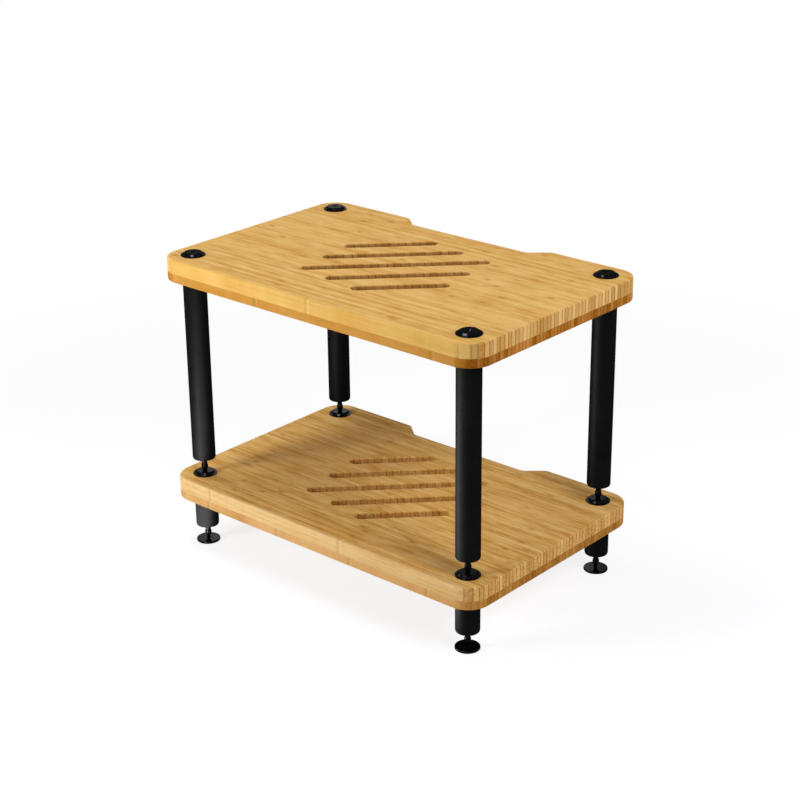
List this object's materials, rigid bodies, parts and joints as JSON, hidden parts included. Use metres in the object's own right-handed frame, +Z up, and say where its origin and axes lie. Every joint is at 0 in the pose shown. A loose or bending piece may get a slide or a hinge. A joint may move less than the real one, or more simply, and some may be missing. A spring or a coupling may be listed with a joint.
{
  "type": "tiered shelf stand",
  "caption": "Open tiered stand: thick laminated bamboo shelves with diagonal vent slots and a rear cable notch, on black tube legs with spikes seated in domed caps and floor discs.",
  "frame": {"origin": "on the floor, under the middle of the stand", "axes": "+X along the shelves to the right, +Y to the back edge with the cable notch, +Z up"},
  "size_m": [0.6, 0.384, 0.4732],
  "materials": {
    "pale_bamboo": "satin lacquer over pale laminated bamboo strips",
    "dark_bamboo": "satin lacquer over caramelised bamboo strips",
    "satin_black": "satin black powder coat on steel tube",
    "gloss_black": "gloss black plated steel"
  },
  "bodies": {
    "lower_tier": {"lower_shelf_pale_layer": "pale_bamboo", "lower_shelf_dark_layer": "dark_bamboo", "lower_cap_front_left": "gloss_black", "lower_head_plug_front_left": "satin_black", "lower_tube_front_left": "satin_black", "lower_foot_plug_front_left": "satin_black", "lower_cap_front_right": "gloss_black", "lower_head_plug_front_right": "satin_black", "lower_tube_front_right": "satin_black", "lower_foot_plug_front_right": "satin_black", "lower_cap_back_left": "gloss_black", "lower_head_plug_back_left": "satin_black", "lower_tube_back_left": "satin_black", "lower_foot_plug_back_left": "satin_black", "lower_cap_back_right": "gloss_black", "lower_head_plug_back_right": "satin_black", "lower_tube_back_right": "satin_black", "lower_foot_plug_back_right": "satin_black"},
    "upper_tier": {"upper_shelf_pale_layer": "pale_bamboo", "upper_shelf_dark_layer": "dark_bamboo", "upper_cap_front_left": "gloss_black", "upper_head_plug_front_left": "satin_black", "upper_tube_front_left": "satin_black", "upper_foot_plug_front_left": "satin_black", "upper_cap_front_right": "gloss_black", "upper_head_plug_front_right": "satin_black", "upper_tube_front_right": "satin_black", "upper_foot_plug_front_right": "satin_black", "upper_cap_back_left": "gloss_black", "upper_head_plug_back_left": "satin_black", "upper_tube_back_left": "satin_black", "upper_foot_plug_back_left": "satin_black", "upper_cap_back_right": "gloss_black", "upper_head_plug_back_right": "satin_black", "upper_tube_back_right": "satin_black", "upper_foot_plug_back_right": "satin_black"},
    "upper_foot_front_left": {"upper_spike_front_left": "gloss_black"},
    "upper_foot_front_right": {"upper_spike_front_right": "gloss_black"},
    "upper_foot_back_left": {"upper_spike_back_left": "gloss_black"},
    "upper_foot_back_right": {"upper_spike_back_right": "gloss_black"},
    "lower_foot_front_left": {"lower_spike_front_left": "gloss_black"},
    "floor_shoe_front_left": {"floor_disc_front_left": "gloss_black"},
    "lower_foot_front_right": {"lower_spike_front_right": "gloss_black"},
    "floor_shoe_front_right": {"floor_disc_front_right": "gloss_black"},
    "lower_foot_back_left": {"lower_spike_back_left": "gloss_black"},
    "floor_shoe_back_left": {"floor_disc_back_left": "gloss_black"},
    "lower_foot_back_right": {"lower_spike_back_right": "gloss_black"},
    "floor_shoe_back_right": {"floor_disc_back_right": "gloss_black"}
  },
  "joints": [
    {"name": "upper_tier_lift", "type": "slide", "parent": "lower_tier", "child": "upper_tier", "axis": [0, 0, 1], "range_m": [0, 0.12]},
    {"name": "upper_foot_front_left_height", "type": "slide", "parent": "upper_tier", "child": "upper_foot_front_left", "axis": [0, 0, 1], "range_m": [0, 0.006]},
    {"name": "upper_foot_front_right_height", "type": "slide", "parent": "upper_tier", "child": "upper_foot_front_right", "axis": [0, 0, 1], "range_m": [0, 0.006]},
    {"name": "upper_foot_back_left_height", "type": "slide", "parent": "upper_tier", "child": "upper_foot_back_left", "axis": [0, 0, 1], "range_m": [0, 0.006]},
    {"name": "upper_foot_back_right_height", "type": "slide", "parent": "upper_tier", "child": "upper_foot_back_right", "axis": [0, 0, 1], "range_m": [0, 0.006]},
    {"name": "lower_foot_front_left_height", "type": "slide", "parent": "lower_tier", "child": "lower_foot_front_left", "axis": [0, 0, 1], "range_m": [-0.008, 0.006]},
    {"name": "floor_shoe_front_left_swivel", "type": "hinge", "parent": "lower_foot_front_left", "child": "floor_shoe_front_left", "pos_m": [-0.262, -0.154, 0], "axis": [0, 0, 1], "continuous": true},
    {"name": "lower_foot_front_right_height", "type": "slide", "parent": "lower_tier", "child": "lower_foot_front_right", "axis": [0, 0, 1], "range_m": [-0.008, 0.006]},
    {"name": "floor_shoe_front_right_swivel", "type": "hinge", "parent": "lower_foot_front_right", "child": "floor_shoe_front_right", "pos_m": [0.262, -0.154, 0], "axis": [0, 0, 1], "continuous": true},
    {"name": "lower_foot_back_left_height", "type": "slide", "parent": "lower_tier", "child": "lower_foot_back_left", "axis": [0, 0, 1], "range_m": [-0.008, 0.006]},
    {"name": "floor_shoe_back_left_swivel", "type": "hinge", "parent": "lower_foot_back_left", "child": "floor_shoe_back_left", "pos_m": [-0.262, 0.154, 0], "axis": [0, 0, 1], "continuous": true},
    {"name": "lower_foot_back_right_height", "type": "slide", "parent": "lower_tier", "child": "lower_foot_back_right", "axis": [0, 0, 1], "range_m": [-0.008, 0.006]},
    {"name": "floor_shoe_back_right_swivel", "type": "hinge", "parent": "lower_foot_back_right", "child": "floor_shoe_back_right", "pos_m": [0.262, 0.154, 0], "axis": [0, 0, 1], "continuous": true}
  ]
}
